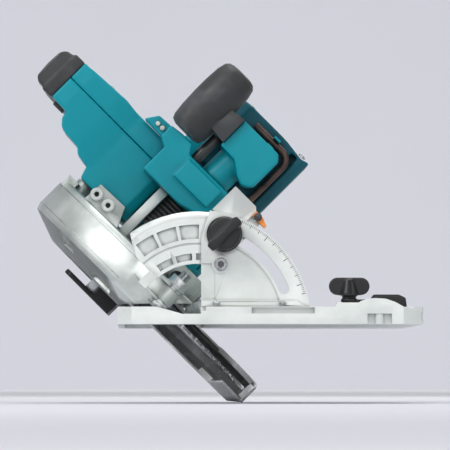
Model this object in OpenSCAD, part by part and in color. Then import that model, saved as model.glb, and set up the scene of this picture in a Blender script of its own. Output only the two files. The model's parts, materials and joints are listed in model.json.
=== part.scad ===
// Cordless circular saw with a tilting head, shown tilted to its full bevel angle.
// Row frame: X to the right seen from the front, Y to the back, Z up, origin in the middle of the sole.
// The head is drawn upright, with the bevel axis at X = 0, Z = 0, and then tilted about that axis.

/* [Base] */
// Width of the base, across the saw
base_w = 222; // [220:1:226]
// Front edge of the base
base_front = -160; // [-170:1:-158]
// Back edge of the base
base_back = 150; // [148:1:160]
// Thickness of the sole plate
sole_t = 4; // [3:0.5:5]
// Height of the rim that runs round the base
rim_h = 12.6; // [12:0.1:12.8]
// Place of the bevel axis across the base
pivot_x = -53.5; // [-54:0.1:-53]

/* [Bevel] */
// Bevel angle of the head at rest
bevel = 45; // [0:5:45]
// Outer radius of the fixed bevel bracket
bracket_r = 83; // [82.6:0.1:84]
// Radius of the middle of the bevel slot
slot_r = 68; // [67:0.5:69]
// Width of the bevel slot
slot_w = 7.5; // [7.5:0.1:8]
// Angle of the clamping bolt in the upright head
clamp_angle = 28; // [27:1:29]

/* [Blade] */
// Diameter of the blade
blade_d = 190; // [180:1:190]
// Number of blade teeth
tooth_count = 40; // [24:2:60]
// Height of the arbor above the sole in the upright head
arbor_z = 35; // [35:1:37]
// Middle plane of the blade, from the bevel axis
blade_x = -7.4; // [-7.6:0.1:-7.2]

/* [Guards] */
// Outer radius of the upper blade case
case_r = 113.5; // [113:0.5:115]
// Outer radius of the lower guard
guard_r = 101; // [99:1:102]

/* [Drive] */
// Gear module
gear_module = 0.9; // [0.9:0.1:0.9]
// Teeth of the spindle gear
gear_teeth = 40; // [40:1:40]
// Teeth of the rotor pinion
pinion_teeth = 10; // [10:1:10]
// Outer radius of the motor housing
motor_r = 33; // [32:0.5:33.5]

/* [Grips] */
// Diameter of the front barrel grip
barrel_d = 33.3; // [32:0.1:35]
// Number of cooling slots in a row
slot_count = 7; // [5:1:8]

/* [Hidden] */
$fn = 64;
motor_z = arbor_z + gear_module * (gear_teeth + pinion_teeth) / 2;
blade_t = 1.8;
fit = 0.05;
face_gap = 0.3;

// Depth hinge, at the front of the head
depth_y = -121;
depth_z = 30.5;
depth_pin_r = 4;
ear_gap = 5.9;
ear_t = 2.2;

// Layers of the front tilt joint, front to back
bracket_y = [-150, -144];
quadrant_y = [-143.7, -131];
// Layers of the rear tilt joint
rear_plate_y = [131.5, 135.5];
rear_bracket_y = [136, 140];
rear_slot_r = 27;
rear_clamp_angle = 40;

// Opening of the base for the blade and the guards
opening_x = [pivot_x - 52.5, pivot_x + 6];
opening_y = [-132, 115];
fence_bolt = [57.3, -142.25];
fence_slot_y = [-148.5, -136];
fence_slot_z = [3.4, 8.4];
rear_bar_h = 10;

// Depth guide: an arc about the depth hinge, and the lever that clamps it
guide_r = 241;
guide_x = [12, 15];
lever_x = [15.6, 20];

// Case profile
case_inner_x = [6.6, 9.6];
case_lip_x = -30;
case_lip_r = 84;
boss_r = 17;
lock_place = [15.4, arbor_z];

// Motor housings, side to side
housing_x = [27.2, 90];
end_cover_x = [90.1, 146];
end_cover_y = [-50, 33];
end_cover_z = [25.2, 92.3];

// Handle
handle_seam_x = 65.5;
trigger_place = [9, 172];
trigger_pin_r = 1.5;
body_z = [92.5, 124];
body_x = [17.8, 82];
barrel_x = [95.2, 156];
barrel_y = -80;
barrel_z = 107;

// Battery packs
pack_x = [[26, 86], [87, 147]];
pack_y = [36, 148];
pack_z = [38, 88];

steel = "#9aa0a2";
bright = "#c9cecf";
casting = "#c5cbc8";
white_cast = "#e6eae8";
teal = "#00929f";
deep_teal = "#0a5a66";
black = "#2b2b2b";
rubber_grey = "#4c5053";
orange = "#ff963c";

// ---------- drawing helpers ----------

// Carries the upright head to its place on the base, at the bevel angle
module tilted() {
    translate([pivot_x, 0, 0])
        rotate([0, -bevel, 0])
            children();
}

// Carries a shape drawn about the bevel axis to the base
module at_pivot() {
    translate([pivot_x, 0, 0])
        children();
}

// Raises an outline of (x, z) points between two y values
module plate_y(y) {
    translate([0, y[1], 0])
        rotate([90, 0, 0])
            linear_extrude(y[1] - y[0])
                children();
}

// Raises an outline of (y, z) points between two x values
module plate_x(x) {
    translate([x[0], 0, 0])
        rotate([90, 0, 90])
            linear_extrude(x[1] - x[0])
                children();
}

// Round bar along X, at a (y, z) place
module bar_x(x, place, r) {
    translate([x[0], place[0], place[1]])
        rotate([0, 90, 0])
            cylinder(h = x[1] - x[0], r = r);
}

// Round bar along Y, at an (x, z) place
module bar_y(y, place, r) {
    translate([place[0], y[0], place[1]])
        rotate([-90, 0, 0])
            cylinder(h = y[1] - y[0], r = r);
}

// Box between two limits on each axis
module block(x, y, z) {
    translate([x[0], y[0], z[0]])
        cube([x[1] - x[0], y[1] - y[0], z[1] - z[0]]);
}

// Turns a profile of (radius, x) points about an X line; 0 degrees is the back, 90 degrees the top
module turn_x(place, start, angle) {
    translate([0, place[0], place[1]])
        rotate([90, 0, 90])
            rotate([0, 0, start])
                rotate_extrude(angle = angle)
                    children();
}

// Turns a profile of (radius, depth) points about the bevel axis; 0 degrees is +X, 90 degrees the top
module turn_y(y, start, angle) {
    translate([0, y[1], 0])
        rotate([90, 0, 0])
            rotate([0, 0, start])
                rotate_extrude(angle = angle)
                    children();
}

// Arc-shaped slot about the bevel axis with round ends
module arc_slot(y, r, w, from, to) {
    turn_y(y, from, to - from)
        translate([r - w / 2, 0])
            square([w, y[1] - y[0]]);
    for (a = [from, to])
        bar_y(y, r * [cos(a), sin(a)], w / 2);
}

// ---------- base ----------

// Outline of the base plate seen from above, with cut front corners
module base_outline() {
    half = base_w / 2;
    polygon([
        [-half, base_back], [-half, base_front + 12], [-half + 10.3, base_front], [half - 15, base_front],
        [half - 1, base_front + 12], [half, base_front + 16], [half, base_back - 14],
        [half - 14, base_back], [-half + 8, base_back]
    ]);
}

// Front face of the base: low corner, rim, dip, step and the raised fence clamp
module base_front_face() {
    difference() {
        polygon([
            [-base_w / 2, 0], [-base_w / 2, 11], [-100, rim_h], [-83, rim_h], [-64, 7.4], [-47, 7.4],
            [-47, rim_h], [46, rim_h], [48, 15.6], [64, 15.6], [66, 17], [70, 18.4], [75.5, 18.8],
            [83, 18.4], [90, 16], [96, rim_h], [110, 9.6], [base_w / 2, 8], [base_w / 2, 0]
        ]);
        translate([69.8, -1])
            square([17.7, 8.6]);
        translate([-100, 5])
            square([5, 4]);
    }
}

module base_plate() {
    color(white_cast)
        difference() {
            union() {
                linear_extrude(sole_t)
                    base_outline();
                // rim round the plate
                difference() {
                    linear_extrude(rim_h - 3)
                        base_outline();
                    block([-base_w / 2 + 5, base_w / 2 - 5], [-140, base_back - 5], [sole_t, rim_h + 1]);
                }
                // rim round the opening
                block(
                    [opening_x[1], opening_x[1] + 4.5], [opening_y[0] - 1, opening_y[1] + 5],
                    [0, rim_h - 1]
                );
                block([opening_x[0], opening_x[1] + 4], [opening_y[1], opening_y[1] + 5], [0, rim_h - 1]);
                // stiffening ribs
                for (y = [-90, -40, 10, 60])
                    block([opening_x[1], base_w / 2 - 3], [y, y + 3], [0, 8]);
                block([30, 33], [-138, base_back - 3], [0, 8]);
                // rear cross bar, which carries the rear bracket
                block([-base_w / 2 + 6, base_w / 2 - 8], [opening_y[1] + 10, base_back - 1], [0, rear_bar_h]);
                // front cross bar
                intersection() {
                    linear_extrude(22)
                        base_outline();
                    plate_y([base_front, -154])
                        base_front_face();
                }
                intersection() {
                    linear_extrude(22)
                        base_outline();
                    block([-base_w / 2, base_w / 2], [-154, opening_y[0]], [0, rim_h]);
                }
                // raised fence clamp
                translate([0, -132, 0])
                    rotate([90, 0, 0])
                        linear_extrude(22)
                            polygon([
                                [46, rim_h - 1], [48, 15.6], [64, 15.6], [66, 17], [70, 18.4], [75.5, 18.8],
                                [83, 18.4], [90, 16], [96, rim_h - 1]
                            ]);
            }
            // dip in front of the blade
            plate_y([base_front - 1, opening_y[0] + 1])
                polygon([[-83, 30], [-83, rim_h], [-64, 7.4], [-50.6, 7.4], [-50.6, 30]]);
            // notch under the fence clamp
            difference() {
                block([69.8, 87.5], [base_front - 1, -155], [-1, 7.6]);
                bar_z([78.5, -156.5], -2, 8, 3);
            }
            // opening for the blade
            block(opening_x, opening_y, [-1, 40]);
            // shallow groove in the front edge
            block([-14, 31.6], [base_front - 1, base_front + 2.5], [7.7, 12]);
            // slot for the rip fence bar
            block([20, base_w / 2 + 1], fence_slot_y, fence_slot_z);
            // thread of the fence bolt
            bar_z(fence_bolt, sole_t, 30, 3 + fit);
        }
}

// Round bar along Z
module bar_z(place, from, to, r) {
    translate([place[0], place[1], from])
        cylinder(h = to - from, r = r);
}

// Fixed bracket in front, relative to the bevel axis
module front_bracket_outline() {
    intersection() {
        circle(r = bracket_r, $fn = 128);
        polygon([[3.2, 12.7], [3.2, 63], [11.8, 90], [90, 90], [90, 12.7]]);
    }
}

module front_bevel_bracket() {
    color(white_cast)
        at_pivot()
            difference() {
                union() {
                    plate_y(bracket_y)
                        front_bracket_outline();
                    // raised ring under the head of the stop screw
                    bar_y([bracket_y[0] - 1.2, bracket_y[1]], [17.4, 43.4], 6.6);
                    // foot, behind the plate under the moving quadrant
                    plate_y([bracket_y[0] - 5, bracket_y[1]])
                        polygon([[3.2, 12.7], [3.2, 17], [72, 17], [79, 12.7]]);
                }
                arc_slot([bracket_y[0] - 1, bracket_y[1] + 1], slot_r, slot_w, clamp_angle - 6, clamp_angle + bevel + 4);
                // sunk edge strip at the left
                block([2, 13.3], [bracket_y[0] - 1, bracket_y[0] + 1.2], [18, 44]);
                // raised scale band, left by a shallow step inside it
                turn_y([bracket_y[0] - 1, bracket_y[0] + 0.6], 11, 63)
                    translate([61.2, 0])
                        square([1.2, 1.6]);
                bar_y([bracket_y[0] - 2, bracket_y[1] + 1], [17.4, 43.4], 3 + fit);
                for (x = [14, 62])
                    bar_y([bracket_y[0] - 6, bracket_y[1] + 1], [x, 14.9], 1.2 + fit);
            }
}

module bracket_screws() {
    color(steel)
        at_pivot()
            for (x = [14, 62]) {
                bar_y([bracket_y[0] - 6.2, bracket_y[0] - 5.02], [x, 14.9], 2.1);
                bar_y([bracket_y[0] - 6.2, bracket_y[1] - 0.1], [x, 14.9], 1.2);
            }
}

module bevel_stop_screw() {
    color("#3a3a3a")
        at_pivot()
            difference() {
                union() {
                    bar_y([bracket_y[0] - 4.4, bracket_y[0] - 1.22], [17.4, 43.4], 4.6);
                    bar_y([bracket_y[0] - 4.4, bracket_y[1] - 0.1], [17.4, 43.4], 3);
                }
                translate([17.4, bracket_y[0] - 4, 43.4])
                    rotate([-90, 0, 0])
                        cylinder(h = 3, r = 2.4, $fn = 6);
            }
}

module rear_bevel_bracket() {
    color(bright)
        at_pivot()
            difference() {
                union() {
                    plate_y(rear_bracket_y)
                        intersection() {
                            circle(r = 34);
                            polygon([[-6, rear_bar_h], [-6, 40], [40, 40], [40, rear_bar_h]]);
                        }
                    block([-6, 46], [rear_bracket_y[0], base_back - 3], [rear_bar_h, rear_bar_h + 2]);
                }
                arc_slot(
                    [rear_bracket_y[0] - 1, rear_bracket_y[1] + 1], rear_slot_r, 6.5,
                    rear_clamp_angle - 2, rear_clamp_angle + bevel + 3
                );
            }
}

// Plastic cap on the fence clamp at the back of the raised bump
module fence_clamp_pad() {
    color(black)
        difference() {
            plate_y([-131.9, -122])
                polygon([[56, rim_h], [56, 18.4], [73, 18.4], [75.7, 22], [94, 22], [99, 19.6], [100, rim_h]]);
            block([55, 101], [-133, -121], [0, rim_h - 2.98]);
        }
}

module fence_wing_bolt() {
    wing_z = 21;
    color(black)
        translate([fence_bolt[0], fence_bolt[1], 0])
            union() {
                bar_z([0, 0], fence_slot_z[1] + 0.3, 17, 3);
                translate([0, 0, 16])
                    cylinder(h = 2.6, r = 6.2);
                translate([0, 0, 18])
                    cylinder(h = 4, r1 = 3.8, r2 = 6.6);
                translate([0, 0, wing_z])
                    cylinder(h = 11.6, r1 = 7.4, r2 = 4.2);
                // rounded wings
                for (x = [-8.4, 8.4])
                    bar_y([-2.4, 2.4], [x, wing_z + 6.6], 6.4);
                block([-8.4, 8.4], [-2.4, 2.4], [wing_z + 0.2, wing_z + 13]);
            }
}

// ---------- tilting frame ----------

// Cells between the ribs of the quadrant
module quadrant_cell(r, from, to, depth) {
    turn_y([quadrant_y[0] - 1, quadrant_y[0] + depth], from, to - from)
        translate([r[0], 0])
            square([r[1] - r[0], depth + 1]);
}

module bevel_quadrant() {
    clamp = slot_r * [cos(clamp_angle), sin(clamp_angle)];
    color(casting)
        tilted()
            difference() {
                union() {
                    intersection() {
                        turn_y(quadrant_y, 10, 79)
                            polygon([
                                [44, 0], [82, 0], [82, 8], [79.6, 10.6], [77, 11], [77, 12.7],
                                [59.2, 12.7], [59.2, 11.8], [57.8, 11.8], [57.8, 12.7], [44, 12.7]
                            ]);
                        // flat foot, clear of the base at both ends of the tilt, and straight inner end
                        plate_y([-150, -120])
                            polygon([[3.4, 19.2], [3.4, 65], [8, 74], [13.6, 82.5], [84, 90], [84, 19.2]]);
                    }
                    // end block with the pointer
                    plate_y([quadrant_y[0] + 2.2, -122])
                        polygon([[67.3, 51], [91, 51], [91, 30], [88.6, 27.4], [70, 27.4], [67.3, 30]]);
                    block([78.6, 88.6], [quadrant_y[0] + 5, quadrant_y[1]], [19, 28]);
                    // bridge and ears of the depth hinge
                    block([-ear_gap - ear_t, ear_gap + ear_t], quadrant_y, [44.6, 51.8]);
                    for (x = [[-ear_gap - ear_t, -ear_gap], [ear_gap, ear_gap + ear_t]]) {
                        bar_x(x, [depth_y, depth_z], 7);
                        plate_x(x)
                            polygon([
                                [depth_y - 6.5, depth_z + 2.5], [-131, 36], [-134, 44.6], [-134, 51.8],
                                [-131, 51.8], [depth_y + 4.5, depth_z + 5.2]
                            ]);
                    }
                }
                // cells, three across the band and three small ones below
                for (a = [71, 57.3, 43.6])
                    quadrant_cell([62, 72.5], a, a + 11.6, 7);
                for (a = [66, 49, 32])
                    quadrant_cell([46.5, 51.5], a, a + 13.5, 5);
                // hole of the clamping bolt
                bar_y([-150, -120], clamp, 3.6 + fit);
                bar_x([-20, 20], [depth_y, depth_z], depth_pin_r + fit);
                bar_y([-150, -120], [84, 24], 1.3);
            }
}

module depth_pivot_bolt() {
    color(steel)
        tilted() {
            bar_x([-ear_gap - ear_t - 0.02, 21.6], [depth_y, depth_z], depth_pin_r);
            translate([-ear_gap - ear_t - 4.2, depth_y, depth_z])
                rotate([0, 90, 0])
                    cylinder(h = 4.18, r = 7.6, $fn = 6);
        }
}

module depth_pivot_nut() {
    color(bright)
        tilted()
            difference() {
                union() {
                    translate([ear_gap + ear_t + 0.02, depth_y, depth_z])
                        rotate([0, 90, 0])
                            cylinder(h = 7.4, r = 7.6, $fn = 6);
                    bar_x([ear_gap + ear_t + 0.02, ear_gap + ear_t + 1.4], [depth_y, depth_z], 8.6);
                }
                bar_x([0, 40], [depth_y, depth_z], depth_pin_r + fit);
            }
}

module bevel_pointer() {
    color(orange)
        tilted()
            difference() {
                plate_y([quadrant_y[0] - 4.6, quadrant_y[0] + 4.9])
                    polygon([[84, 14.4], [83.8, 20], [83.8, 27.2], [88.6, 27.2], [88.6, 21], [86, 14.4]]);
                bar_y([-150, -120], [86.2, 23.6], 1.3);
            }
}

module pointer_screw() {
    color(black)
        tilted() {
            bar_y([quadrant_y[0] - 7, quadrant_y[0] - 4.65], [86.2, 23.6], 3);
            bar_y([quadrant_y[0] - 7, quadrant_y[0] + 4.8], [86.2, 23.6], 1.25);
        }
}

module bevel_clamp_bolt() {
    clamp = slot_r * [cos(clamp_angle), sin(clamp_angle)];
    color(steel)
        tilted() {
            bar_y([-165, -126.1], clamp, 3.6);
            translate([clamp[0], quadrant_y[1] + 0.05, clamp[1]])
                rotate([-90, 0, 0])
                    cylinder(h = 5, r = 7, $fn = 6);
        }
}

module bevel_knob() {
    clamp = slot_r * [cos(clamp_angle), sin(clamp_angle)];
    color(black)
        tilted()
            translate([clamp[0], 0, clamp[1]])
                difference() {
                    union() {
                        bar_y([-161, bracket_y[0] - face_gap], [0, 0], 12.9);
                        bar_y([-166, -161], [0, 0], 11.6);
                        plate_y([-170, -160])
                            polygon([
                                [-15, -2.6], [-15, 2.6], [-12, 4], [-5, 3], [5, 3], [12, 4], [15, 2.6],
                                [15, -2.6], [12, -4], [5, -3], [-5, -3], [-12, -4]
                            ]);
                    }
                    bar_y([-165.2, -140], [0, 0], 3.6 + fit);
                }
}

module rear_tilt_plate() {
    clamp = rear_slot_r * [cos(rear_clamp_angle), sin(rear_clamp_angle)];
    color(bright)
        tilted()
            difference() {
                plate_y(rear_plate_y)
                    intersection() {
                        circle(r = 34);
                        polygon([[4, 16], [4, 40], [40, 40], [40, 16]]);
                    }
                bar_y([130, 137], clamp, 3 + fit);
            }
}

module rear_clamp_bolt() {
    clamp = rear_slot_r * [cos(rear_clamp_angle), sin(rear_clamp_angle)];
    color(steel)
        tilted() {
            bar_y([129.4, 146], clamp, 3);
            bar_y([128.6, rear_plate_y[0] - 0.05], clamp, 4.6);
            translate([clamp[0], rear_bracket_y[1] + face_gap, clamp[1]])
                rotate([-90, 0, 0])
                    cylinder(h = 4.5, r = 5.6, $fn = 6);
        }
}

module depth_guide() {
    color(bright)
        tilted()
            difference() {
                union() {
                    turn_x([depth_y, depth_z], -3, 30.5)
                        translate([guide_r - 9, guide_x[0]])
                            square([18, guide_x[1] - guide_x[0]]);
                    block(guide_x, [108, rear_plate_y[0] - 0.03], [16.5, 26]);
                    block([guide_x[0] - 6, guide_x[1]], [129.2, rear_plate_y[0] - 0.03], [16.5, 26]);
                }
                turn_x([depth_y, depth_z], 0, 25)
                    translate([guide_r - 3.2, guide_x[0] - 1])
                        square([6.4, 5]);
                for (a = [0, 25])
                    bar_x(
                        [guide_x[0] - 1, guide_x[1] + 1],
                        [depth_y + guide_r * cos(a), depth_z + guide_r * sin(a)], 3.2
                    );
            }
}

// ---------- blade case and gear housing ----------

// Everything of the case stays above the base, upright and at the full bevel
module case_limits() {
    plate_y([-140, 140])
        polygon([[-45, 67], [8.4, 13.6], [40, 13.6], [40, 170], [-45, 170]]);
}

module blade_case() {
    color(casting)
        tilted()
            difference() {
                union() {
                    intersection() {
                        turn_x([0, arbor_z], -14, 208)
                            polygon([
                                [case_r - 5.5, case_inner_x[1]], [case_r - 1.5, 8.2], [case_r, 4.6],
                                [case_r, -16.5], [case_r - 1.6, -21], [case_lip_r + 3, case_lip_x],
                                [case_lip_r, case_lip_x], [case_lip_r, case_lip_x + 2.4],
                                [case_r - 4.4, -18.8], [case_r - 3, -16.4], [case_r - 3, 3.6],
                                [case_r - 5.5, case_inner_x[0]], [case_r - 26, case_inner_x[0]],
                                [case_r - 26, case_inner_x[1]]
                            ]);
                        case_limits();
                    }
                    intersection() {
                        plate_x(case_inner_x)
                            translate([0, arbor_z])
                                circle(r = case_r - 5.5, $fn = 128);
                        case_limits();
                    }
                    // lug of the depth hinge
                    plate_x([-ear_gap + face_gap, ear_gap - face_gap])
                        polygon([
                            [depth_y - 4, depth_z + 6.9], [-112, 58], [-104, 72], [-102, 64], [-106.5, 36],
                            [-112, 27], [depth_y + 4, depth_z - 6.9]
                        ]);
                    bar_x([-ear_gap + face_gap, ear_gap - face_gap], [depth_y, depth_z], 8);
                    // block with the two threaded accessory holes
                    plate_y([-66, -40])
                        polygon([
                            [7.4, 125], [24.4, 123.6], [25.2, 99.2], [17, 95.5], [8.9, 91.8]
                        ]);
                    for (z = [120.6, 108.8])
                        bar_y([-69, -60], [17, z], 4.8);
                    // round boss and stop block at the top
                    bar_x([case_inner_x[1] - 1.5, body_x[0] - 0.2], [-14, 132.5], 7.5);
                    block([4.4, 14], [-30, -9.5], [137, 146.5]);
                }
                bar_x([0, 20], [0, arbor_z], boss_r + fit);
                bar_x([-10, 10], [depth_y, depth_z], depth_pin_r + fit);
                for (z = [120.6, 108.8])
                    bar_y([-72, -48], [17, z], 1.9);
                // dust outlet and window in the outer face
                turn_x([0, arbor_z], 151, 12)
                    translate([case_lip_r + 6, case_lip_x - 4])
                        square([8, 12]);
                turn_x([0, arbor_z], 128, 9)
                    translate([case_lip_r + 13, case_lip_x - 4])
                        square([6, 12]);
                for (a = [20, 60, 120, 160])
                    bar_x([5, 12], [30 * cos(a), arbor_z + 12 + 30 * sin(a)], 2 + fit);
            }
}

// Outline of the gear housing
module gear_outline(arbor_r, motor_outline_r) {
    translate([0, arbor_z])
        circle(r = arbor_r);
    translate([0, motor_z])
        circle(r = motor_outline_r);
}

module gear_housing() {
    x0 = case_inner_x[1] + 0.02;
    x1 = housing_x[0] - 0.05;
    color(casting)
        tilted()
            difference() {
                union() {
                    plate_x([x0, x1])
                        gear_outline(21.3, 32.5);
                    bar_x([0.6, 12], [0, arbor_z], boss_r);
                    bar_y([-34, -18], lock_place, 5.6);
                }
                // gear chamber
                plate_x([11.4, 20])
                    gear_outline(19.4, 7);
                // seats of the spindle bearings
                bar_x([0, 12], [0, arbor_z], 14 + fit);
                bar_x([19, 25.6], [0, arbor_z], 8 + fit);
                // seat of the rotor bearing, open to the motor
                bar_x([19, 26.6], [0, motor_z], 9.5 + fit);
                bar_x([19, 40], [0, motor_z], 5);
                for (a = [20, 60, 120, 160])
                    bar_x([0, x0 + 8], [30 * cos(a), arbor_z + 12 + 30 * sin(a)], 1.6);
                bar_y([-40, -15], lock_place, 3 + fit);
            }
}

module case_screws() {
    color(steel)
        tilted()
            for (a = [20, 60, 120, 160]) {
                bar_x([2.6, case_inner_x[0] - 0.02], [30 * cos(a), arbor_z + 12 + 30 * sin(a)], 3.2);
                bar_x([2.6, 16], [30 * cos(a), arbor_z + 12 + 30 * sin(a)], 1.55);
            }
}

// ---------- blade and spindle ----------

module blade() {
    r = blade_d / 2;
    step = 360 / tooth_count;
    color(bright)
        tilted()
            difference() {
                plate_x([blade_x - blade_t / 2, blade_x + blade_t / 2])
                    translate([0, arbor_z])
                        polygon([
                            for (i = [0 : tooth_count - 1])
                                let (a = i * step)
                                    each [
                                        r * [cos(a), sin(a)],
                                        (r - 1.6) * [cos(a + step * 0.34), sin(a + step * 0.34)],
                                        (r - 4) * [cos(a + step * 0.5), sin(a + step * 0.5)],
                                        (r - 6.6) * [cos(a + step * 0.72), sin(a + step * 0.72)],
                                        (r - 6.2) * [cos(a + step * 0.9), sin(a + step * 0.9)]
                                    ]
                        ]);
                bar_x([-20, 20], [0, arbor_z], 10 + fit);
                // expansion slots
                for (i = [0 : 3])
                    translate([0, 0, arbor_z])
                        rotate([i * 90 + 6.4, 0, 0])
                            block([-20, 20], [r - 22, r - 5], [-0.5, 0.5]);
            }
}

module spindle() {
    color(steel)
        tilted() {
            bar_x([blade_x - 4, 1.2], [0, arbor_z], 6);
            bar_x([1.1, 11.5], [0, arbor_z], 6);
            bar_x([11.4, 20.4], [0, arbor_z], 6);
            bar_x([20.3, 25.2], [0, arbor_z], 4);
        }
}

module inner_flange() {
    color(steel)
        tilted()
            difference() {
                union() {
                    bar_x([blade_x + blade_t / 2 + 0.02, -0.2], [0, arbor_z], 20);
                    bar_x([blade_x - blade_t / 2 + 0.1, -0.2], [0, arbor_z], 10);
                }
                bar_x([-20, 20], [0, arbor_z], 6 + fit);
            }
}

module outer_flange() {
    color(steel)
        tilted()
            difference() {
                bar_x([blade_x - blade_t / 2 - 3.6, blade_x - blade_t / 2 - 0.02], [0, arbor_z], 19);
                bar_x([-20, 20], [0, arbor_z], 6 + fit);
            }
}

module blade_bolt() {
    x = blade_x - blade_t / 2 - 3.6;
    color("#55595c")
        tilted()
            difference() {
                union() {
                    bar_x([x - 1.6, x - 0.02], [0, arbor_z], 9);
                    translate([x - 7, 0, arbor_z])
                        rotate([0, 90, 0])
                            cylinder(h = 5.6, r = 7.4, $fn = 6);
                }
                translate([x - 8, 0, arbor_z])
                    rotate([0, 90, 0])
                        cylinder(h = 4.4, r = 2.9, $fn = 6);
            }
}

// Spur gear outline with trapezoid teeth
module gear_outline_2d(teeth, backlash) {
    pitch = gear_module * teeth / 2;
    tip = pitch + gear_module * 0.9;
    root = pitch - gear_module * 1.2;
    step = 360 / teeth;
    polygon([
        for (i = [0 : teeth - 1])
            let (a = i * step)
                each [
                    root * [cos(a - step * 0.34), sin(a - step * 0.34)],
                    pitch * [cos(a - step * (0.25 - backlash)), sin(a - step * (0.25 - backlash))],
                    tip * [cos(a - step * 0.1), sin(a - step * 0.1)],
                    tip * [cos(a + step * 0.1), sin(a + step * 0.1)],
                    pitch * [cos(a + step * (0.25 - backlash)), sin(a + step * (0.25 - backlash))],
                    root * [cos(a + step * 0.34), sin(a + step * 0.34)]
                ]
    ]);
}

module spindle_gear() {
    color(steel)
        tilted()
            difference() {
                // a tooth points at the rotor
                translate([0, 0, arbor_z])
                    rotate([90, 0, 0])
                        plate_x([12, 19.4])
                            gear_outline_2d(gear_teeth, 0.04);
                bar_x([0, 30], [0, arbor_z], 6 + fit);
            }
}

module rotor() {
    color(steel)
        tilted()
            translate([0, 0, motor_z]) {
                // pinion with a gap that faces the spindle gear
                rotate([-90 + 180 / pinion_teeth, 0, 0])
                    plate_x([12, 19.4])
                        gear_outline_2d(pinion_teeth, 0.04);
                bar_x([19.3, 124], [0, 0], 3);
                bar_x([52, 104], [0, 0], 16);
            }
}

module cooling_fan() {
    color(black)
        tilted()
            translate([0, 0, motor_z])
                difference() {
                    union() {
                        bar_x([30, 42], [0, 0], 7);
                        bar_x([40, 42], [0, 0], 28);
                        for (a = [0 : 30 : 330])
                            rotate([a, 0, 0])
                                block([31, 41], [6, 27], [-0.8, 0.8]);
                    }
                    bar_x([20, 60], [0, 0], 3 + fit);
                }
}

module bearing(x, place, r, bore) {
    difference() {
        bar_x(x, place, r);
        bar_x([x[0] - 1, x[1] + 1], place, bore + 0.02);
    }
}

module rotor_bearings() {
    color(bright)
        tilted() {
            bearing([20.6, 26.5], [0, motor_z], 9.5, 3);
            bearing([112, 118], [0, motor_z], 9.5, 3);
        }
}

module spindle_bearings() {
    color(bright)
        tilted() {
            bearing([1.5, 9.5], [0, arbor_z], 14, 6);
            bearing([20.6, 25.2], [0, arbor_z], 8, 4);
        }
}

// ---------- motor ----------

module motor_housing() {
    color(teal)
        tilted()
            difference() {
                bar_x(housing_x, [0, motor_z], motor_r);
                bar_x([housing_x[0] - 1, housing_x[1] + 1], [0, motor_z], motor_r - 3);
                // cooling slots round the fan
                for (a = [-160 : 20 : 120])
                    translate([0, 0, motor_z])
                        rotate([a, 0, 0])
                            block([31, 43], [motor_r - 6, motor_r + 6], [-1.6, 1.6]);
            }
}

module stator() {
    color("#7c4a2c")
        tilted()
            difference() {
                bar_x([50, 106], [0, motor_z], motor_r - 3.1);
                bar_x([49, 107], [0, motor_z], 17);
                for (a = [0 : 60 : 300])
                    translate([0, 0, motor_z])
                        rotate([a, 0, 0])
                            block([49, 107], [18, 27], [-3, 3]);
            }
}

module motor_end_cover() {
    wall = 3;
    color(deep_teal)
        tilted()
            difference() {
                plate_x(end_cover_x)
                    polygon([
                        [end_cover_y[0] + 4, end_cover_z[0]], [end_cover_y[0], end_cover_z[0] + 4],
                        [end_cover_y[0], end_cover_z[1] - 6], [end_cover_y[0] + 6, end_cover_z[1]],
                        [end_cover_y[1] - 2, end_cover_z[1]], [end_cover_y[1], end_cover_z[1] - 2],
                        [end_cover_y[1], end_cover_z[0] + 10], [end_cover_y[1] - 10, end_cover_z[0]]
                    ]);
                // motor space and rear bearing seat
                bar_x([end_cover_x[0] - 1, 110], [0, motor_z], motor_r - 3);
                bar_x([100, 118.1], [0, motor_z], 9.5 + fit);
                bar_x([100, 126], [0, motor_z], 6);
                block([end_cover_x[0] + wall, end_cover_x[1] - wall], [end_cover_y[0] + wall, -36], [33, 86]);
                // cooling slots in the end
                for (i = [0 : slot_count - 1])
                    block([128, 150], [-26, 24], [34 + i * 7, 37 + i * 7]);
                // seat of the hex wrench
                bar_x([88, 142], [end_cover_y[0], 37.4], 3.4);
                block([88, 142], [-60, end_cover_y[0]], [34, 40.8]);
                // slanted lower edge of the end face
                translate([146.5, -60, 20])
                    plate_y([0, 120])
                        polygon([[0, 0], [-1.4, 8], [-2.9, 11.8], [-0.8, 28], [0, 46], [3, 46], [3, 0]]);
            }
}

// Front block beside the motor
module front_cover() {
    color(teal)
        tilted()
            difference() {
                union() {
                    plate_y([-84, -34])
                        polygon([
                            [54.8, 72.5], [54.8, 92.3], [85.8, 92.3], [85.8, 51.8], [66.6, 51.8],
                            [58, 60]
                        ]);
                    plate_y([-92, -83.9])
                        polygon([[66.6, 56], [66.6, 90], [83, 90], [83, 56]]);
                    plate_y([-84, -38.5])
                        polygon([
                            [54.8, 92.2], [54.8, 109.5], [77, 109.5], [80.7, 117], [91.8, 117],
                            [93.1, 107], [93.1, 97], [85.8, 92.2]
                        ]);
                    plate_y([-58, -38.5])
                        polygon([[81.8, 116.9], [82.2, 136], [91.8, 129.5], [92.5, 116.9]]);
                }
                bar_x([50, 90], [0, motor_z], motor_r + 0.05);
                block([60, 82], [-80, -36], [62, 100]);
            }
}

module work_lights() {
    color("white")
        tilted()
            for (z = [121.4, 126])
                bar_y([-60.5, -58.02], [86.6, z], 1.7);
}

module brace_bar() {
    color(bright)
        tilted()
            block([case_inner_x[1] + 0.05, 54.7], [-58, -49], [83.6, 91]);
}

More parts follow.
